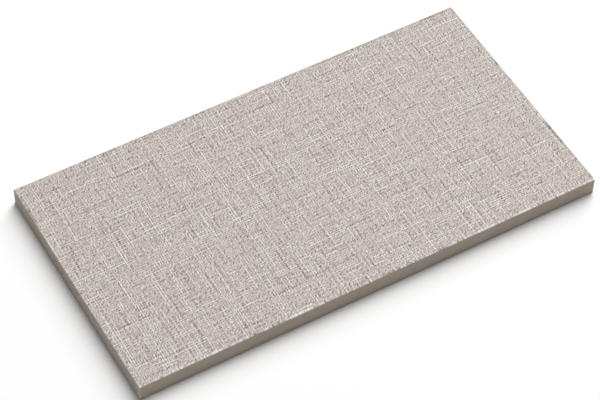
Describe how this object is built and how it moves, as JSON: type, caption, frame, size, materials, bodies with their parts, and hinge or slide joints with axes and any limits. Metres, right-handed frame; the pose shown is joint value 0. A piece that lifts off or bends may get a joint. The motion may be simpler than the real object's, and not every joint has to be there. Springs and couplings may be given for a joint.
{
  "type": "ceramic wall tile",
  "caption": "Flat rectangular wall tile of pressed ceramic with a matte linen-weave glazed face, softly eased edges and a keyed back that the adhesive grips.",
  "frame": {"origin": "middle of the back, in the plane of the land that the tile lies on", "axes": "+X along the long side, +Y along the short side, +Z out of the glazed face"},
  "size_m": [0.227, 0.12, 0.0087],
  "materials": {
    "glazed_body": "matte glaze in greige with a fine linen weave on the face, bare taupe fired body on the sides and back"
  },
  "bodies": {
    "root": {"wall_tile": "glazed_body"}
  },
  "joints": []
}
